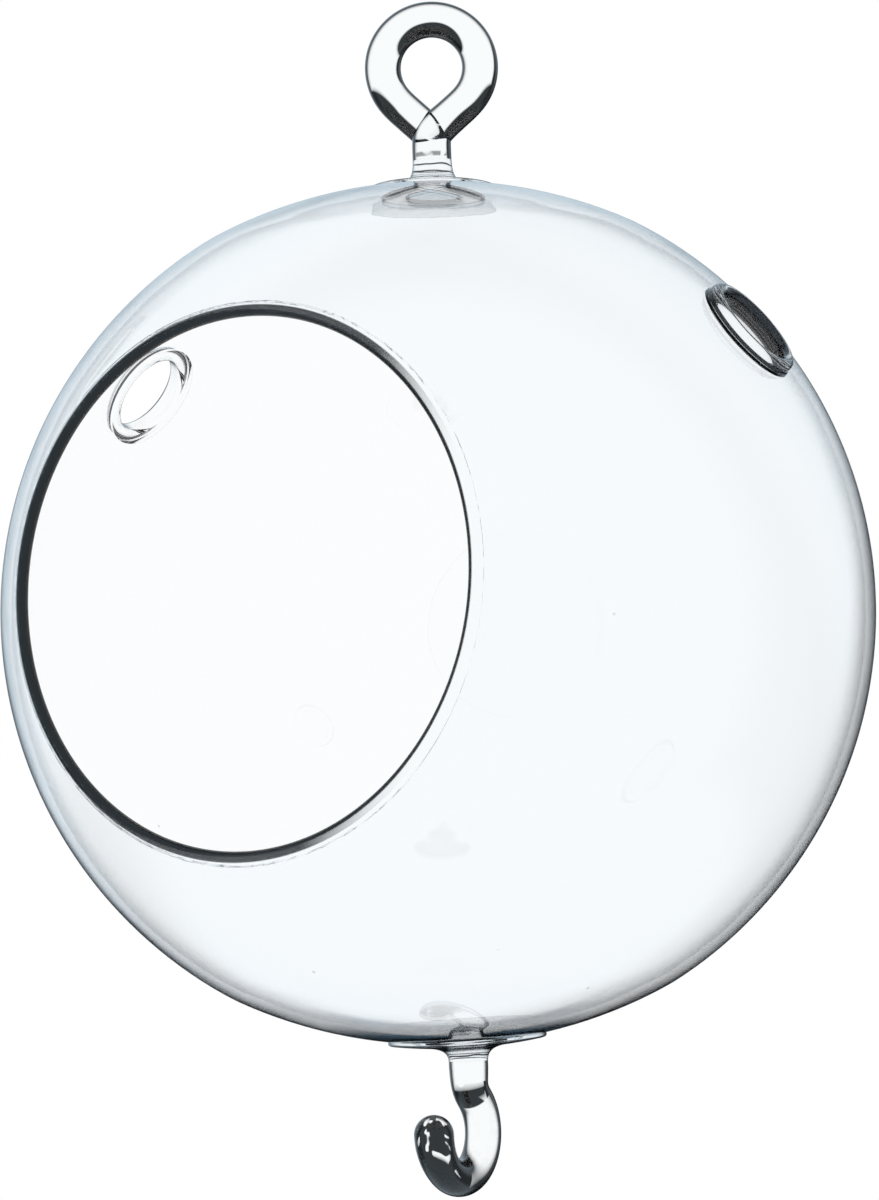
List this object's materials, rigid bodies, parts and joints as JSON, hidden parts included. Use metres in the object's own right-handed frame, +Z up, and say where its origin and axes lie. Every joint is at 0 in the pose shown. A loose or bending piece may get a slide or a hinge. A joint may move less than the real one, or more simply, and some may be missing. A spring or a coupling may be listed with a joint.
{
  "type": "hanging glass terrarium",
  "caption": "Clear blown glass globe with a large round side mouth, collared air vents, a solid glass hanging loop on top and an open glass hook below.",
  "frame": {"origin": "centre of the hanging loop's eye, from which the globe hangs", "axes": "+Z up along the hanging axis, -Y out of the globe's mouth, +X to the right as seen from the mouth"},
  "size_m": [0.12, 0.11, 0.1652],
  "materials": {
    "blown_glass": "clear, fire-polished",
    "rim_glass": "clear, fire-polished",
    "collar_glass": "clear, fire-polished",
    "foot_glass": "clear, fire-polished",
    "rod_glass": "clear, fire-polished"
  },
  "bodies": {
    "root": {"globe": "blown_glass", "mouth_rim": "rim_glass", "vent_collar_left": "collar_glass", "vent_collar_right": "collar_glass", "loop_foot": "foot_glass", "hanging_loop": "rod_glass", "hook_foot": "foot_glass", "bottom_hook": "rod_glass"}
  },
  "joints": []
}
